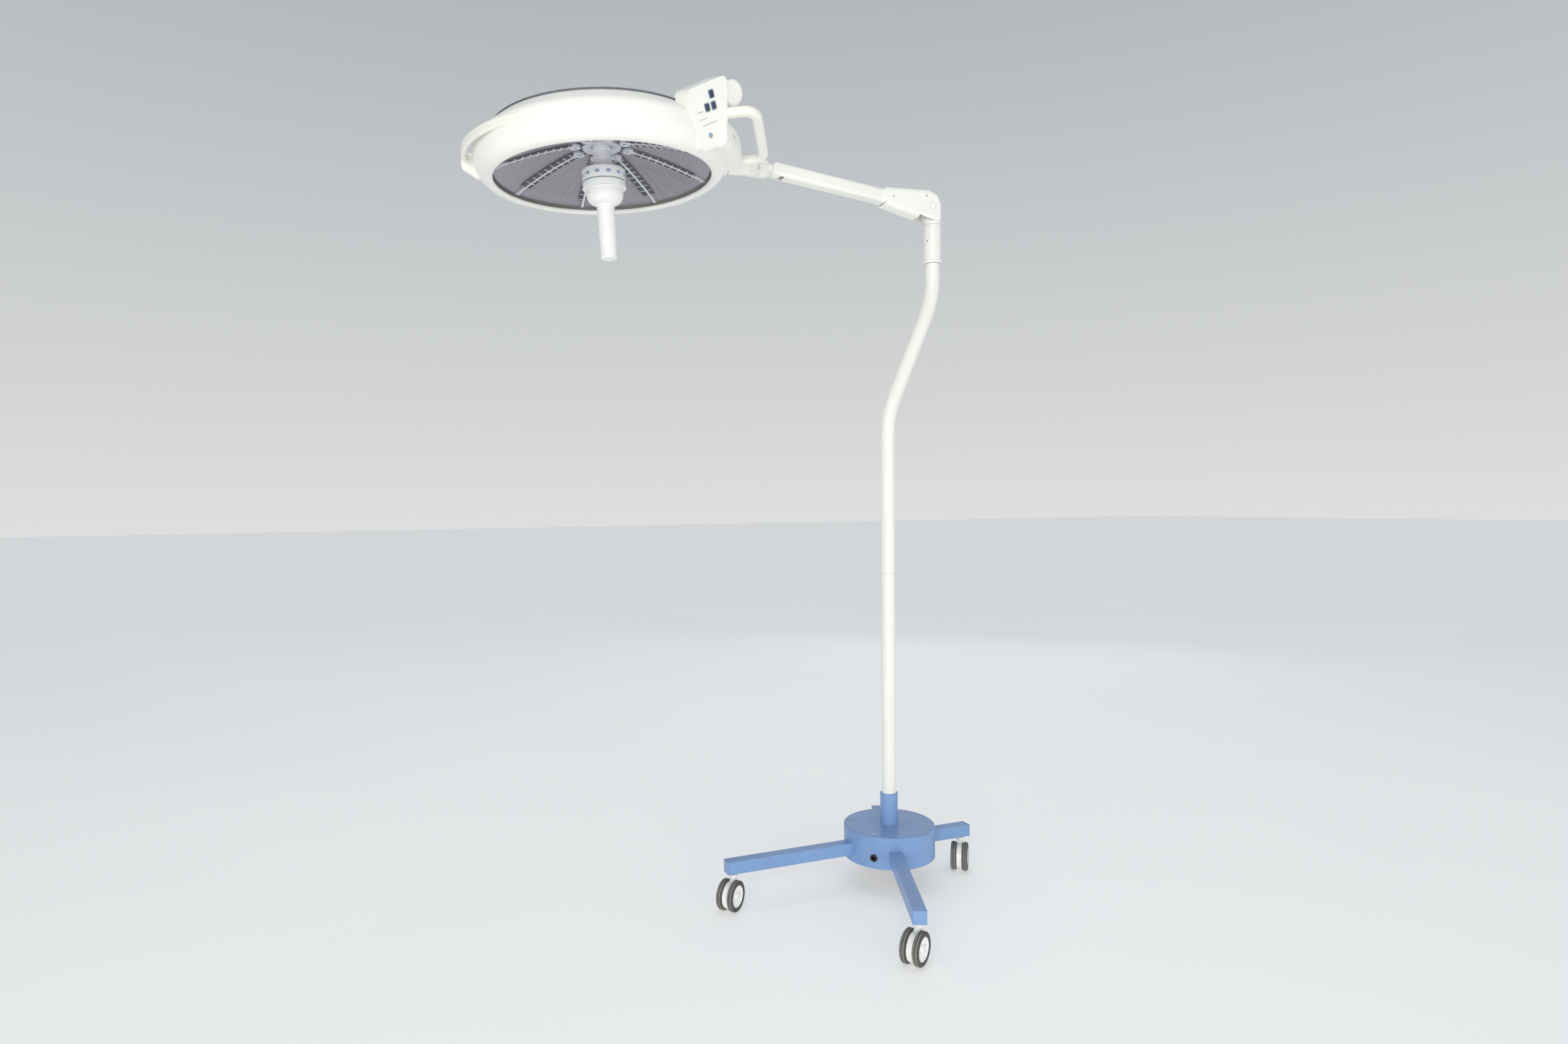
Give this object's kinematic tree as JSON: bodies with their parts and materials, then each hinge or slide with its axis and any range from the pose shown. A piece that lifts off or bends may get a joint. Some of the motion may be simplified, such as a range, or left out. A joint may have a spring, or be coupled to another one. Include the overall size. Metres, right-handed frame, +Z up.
{
  "type": "mobile surgical light",
  "caption": "Wheeled floor light: a shallow reflector head on a counterbalanced arm, cranked column and weighted four-leg base with casters.",
  "frame": {"origin": "on the floor, on the axis of the lower column", "axes": "+Z up the column; -X out along the arm to the lamp head; +Y completes a right-handed frame"},
  "size_m": [1.2522, 0.7161, 1.8477],
  "materials": {
    "warm_white_paint": "satin powder coat",
    "blue_paint": "satin powder coat",
    "warm_white_plastic": "satin moulded",
    "handle_plastic": "satin moulded",
    "cover_grey": "fine texture",
    "caster_white": "moulded",
    "tyre_grey": "smooth tread",
    "steel": "zinc plated",
    "spring_steel": "oiled wire",
    "cast_iron": "as cast",
    "transformer_wrap": "taped winding",
    "black_plastic": "moulded",
    "mirror_grey": "satin faceted",
    "rib_grey": "satin",
    "clear_glass": "polished",
    "bulb_glass": "polished",
    "hub_white": "moulded",
    "button_dark": "smooth",
    "grip_white": "autoclavable satin"
  },
  "bodies": {
    "base": {"caster_stems": "steel", "drum_shell": "blue_paint", "ballast_plate": "cast_iron", "transformer": "transformer_wrap", "leg_frame": "blue_paint", "leg_end_caps": "blue_paint", "column_socket": "blue_paint", "cable_gland": "black_plastic", "lower_column": "warm_white_paint", "cranked_column": "warm_white_paint", "swivel_sleeve": "warm_white_paint", "fixing_screws": "steel"},
    "caster_1": {"caster_fork_1": "caster_white", "caster_axle_1": "steel"},
    "wheel_1a": {"wheel_hub_1a": "caster_white", "wheel_tyre_1a": "tyre_grey"},
    "wheel_1b": {"wheel_hub_1b": "caster_white", "wheel_tyre_1b": "tyre_grey"},
    "caster_2": {"caster_fork_2": "caster_white", "caster_axle_2": "steel"},
    "wheel_2a": {"wheel_hub_2a": "caster_white", "wheel_tyre_2a": "tyre_grey"},
    "wheel_2b": {"wheel_hub_2b": "caster_white", "wheel_tyre_2b": "tyre_grey"},
    "caster_3": {"caster_fork_3": "caster_white", "caster_axle_3": "steel"},
    "wheel_3a": {"wheel_hub_3a": "caster_white", "wheel_tyre_3a": "tyre_grey"},
    "wheel_3b": {"wheel_hub_3b": "caster_white", "wheel_tyre_3b": "tyre_grey"},
    "caster_4": {"caster_fork_4": "caster_white", "caster_axle_4": "steel"},
    "wheel_4a": {"wheel_hub_4a": "caster_white", "wheel_tyre_4a": "tyre_grey"},
    "wheel_4b": {"wheel_hub_4b": "caster_white", "wheel_tyre_4b": "tyre_grey"},
    "knuckle": {"arm_knuckle": "warm_white_paint", "knuckle_pins": "steel"},
    "spring_arm": {"arm_tube": "warm_white_paint", "corner_cover": "warm_white_plastic", "arm_spring": "spring_steel"},
    "link_rod": {"level_rod": "steel"},
    "arm_end": {"end_knuckle": "warm_white_paint", "end_pins": "steel"},
    "yoke": {"head_yoke": "warm_white_paint"},
    "head": {"ring_housing": "warm_white_plastic", "back_cover": "cover_grey", "front_glass": "clear_glass", "reflector": "mirror_grey", "reflector_ribs": "rib_grey", "lamp_tube": "clear_glass", "bulb": "bulb_glass", "lamp_unit": "hub_white", "grab_handle_left": "handle_plastic", "grab_handle_right": "handle_plastic", "control_box": "warm_white_plastic"},
    "focus_grip": {"sterile_handle": "grip_white"},
    "key_power": {"button_power": "button_dark"},
    "key_brighter": {"button_brighter": "button_dark"},
    "key_dimmer": {"button_dimmer": "button_dark"}
  },
  "joints": [
    {"name": "caster_swivel_1", "type": "hinge", "parent": "base", "child": "caster_1", "pos_m": [-0.425, 0, 0.07], "axis": [0, 0, 1], "continuous": true},
    {"name": "wheel_spin_1a", "type": "hinge", "parent": "caster_1", "child": "wheel_1a", "pos_m": [-0.43859, -0.01181, 0.036], "axis": [-0.6561, 0.7547, 0], "continuous": true},
    {"name": "wheel_spin_1b", "type": "hinge", "parent": "caster_1", "child": "wheel_1b", "pos_m": [-0.43859, -0.01181, 0.036], "axis": [-0.6561, 0.7547, 0], "continuous": true},
    {"name": "caster_swivel_2", "type": "hinge", "parent": "base", "child": "caster_2", "pos_m": [-0.15921, -0.39405, 0.07], "axis": [0, 0, 1], "continuous": true},
    {"name": "wheel_spin_2a", "type": "hinge", "parent": "caster_2", "child": "wheel_2a", "pos_m": [-0.17413, -0.40412, 0.036], "axis": [-0.5592, 0.829, 0], "continuous": true},
    {"name": "wheel_spin_2b", "type": "hinge", "parent": "caster_2", "child": "wheel_2b", "pos_m": [-0.17413, -0.40412, 0.036], "axis": [-0.5592, 0.829, 0], "continuous": true},
    {"name": "caster_swivel_3", "type": "hinge", "parent": "base", "child": "caster_3", "pos_m": [0.214, 0, 0.07], "axis": [0, 0, 1], "continuous": true},
    {"name": "wheel_spin_3a", "type": "hinge", "parent": "caster_3", "child": "wheel_3a", "pos_m": [0.20292, -0.01418, 0.036], "axis": [-0.788, 0.6157, 0], "continuous": true},
    {"name": "wheel_spin_3b", "type": "hinge", "parent": "caster_3", "child": "wheel_3b", "pos_m": [0.20292, -0.01418, 0.036], "axis": [-0.788, 0.6157, 0], "continuous": true},
    {"name": "caster_swivel_4", "type": "hinge", "parent": "base", "child": "caster_4", "pos_m": [0.08017, 0.19842, 0.07], "axis": [0, 0, 1], "continuous": true},
    {"name": "wheel_spin_4a", "type": "hinge", "parent": "caster_4", "child": "wheel_4a", "pos_m": [0.06325, 0.19226, 0.036], "axis": [-0.342, 0.9397, 0], "continuous": true},
    {"name": "wheel_spin_4b", "type": "hinge", "parent": "caster_4", "child": "wheel_4b", "pos_m": [0.06325, 0.19226, 0.036], "axis": [-0.342, 0.9397, 0], "continuous": true},
    {"name": "column_swivel", "type": "hinge", "parent": "base", "child": "knuckle", "pos_m": [0.1315, 0, 1.628], "axis": [0, 0, 1], "range_deg": [-90, 90]},
    {"name": "arm_tilt", "type": "hinge", "parent": "knuckle", "child": "spring_arm", "pos_m": [0.118, 0, 1.7044], "axis": [0, 1, 0], "range_deg": [-36, 24]},
    {"name": "rod_swing", "type": "hinge", "parent": "knuckle", "child": "link_rod", "pos_m": [0.118, 0, 1.7154], "axis": [0, 1, 0], "range_deg": [-36, 24]},
    {"name": "arm_level", "type": "hinge", "parent": "spring_arm", "child": "arm_end", "pos_m": [-0.29811, 0, 1.74813], "axis": [0, 1, 0], "range_deg": [-24, 36]},
    {"name": "head_yaw", "type": "hinge", "parent": "arm_end", "child": "yoke", "pos_m": [-0.33411, 0, 1.74813], "axis": [0, 0, 1], "range_deg": [-60, 60]},
    {"name": "head_roll", "type": "hinge", "parent": "yoke", "child": "head", "pos_m": [-0.33411, 0, 1.74813], "axis": [0.9986, 0, 0.0523], "range_deg": [-60, 60]},
    {"name": "focus_turn", "type": "hinge", "parent": "head", "child": "focus_grip", "pos_m": [-0.712, 0, 1.68], "axis": [-0.0523, 0, 0.9986], "range_deg": [-90, 90]},
    {"name": "press_power", "type": "slide", "parent": "head", "child": "key_power", "axis": [-0.3763, 0.9034, 0.2055], "range_m": [0, 0.001], "stiffness_N_per_m": 400, "springref_m": -0.0005},
    {"name": "press_brighter", "type": "slide", "parent": "head", "child": "key_brighter", "axis": [-0.3763, 0.9034, 0.2055], "range_m": [0, 0.001], "stiffness_N_per_m": 400, "springref_m": -0.0005},
    {"name": "press_dimmer", "type": "slide", "parent": "head", "child": "key_dimmer", "axis": [-0.3763, 0.9034, 0.2055], "range_m": [0, 0.001], "stiffness_N_per_m": 400, "springref_m": -0.0005}
  ],
  "couplings": [
    {"joint": "rod_swing", "follows": "arm_tilt", "ratio": 1},
    {"joint": "arm_level", "follows": "arm_tilt", "ratio": -1}
  ]
}
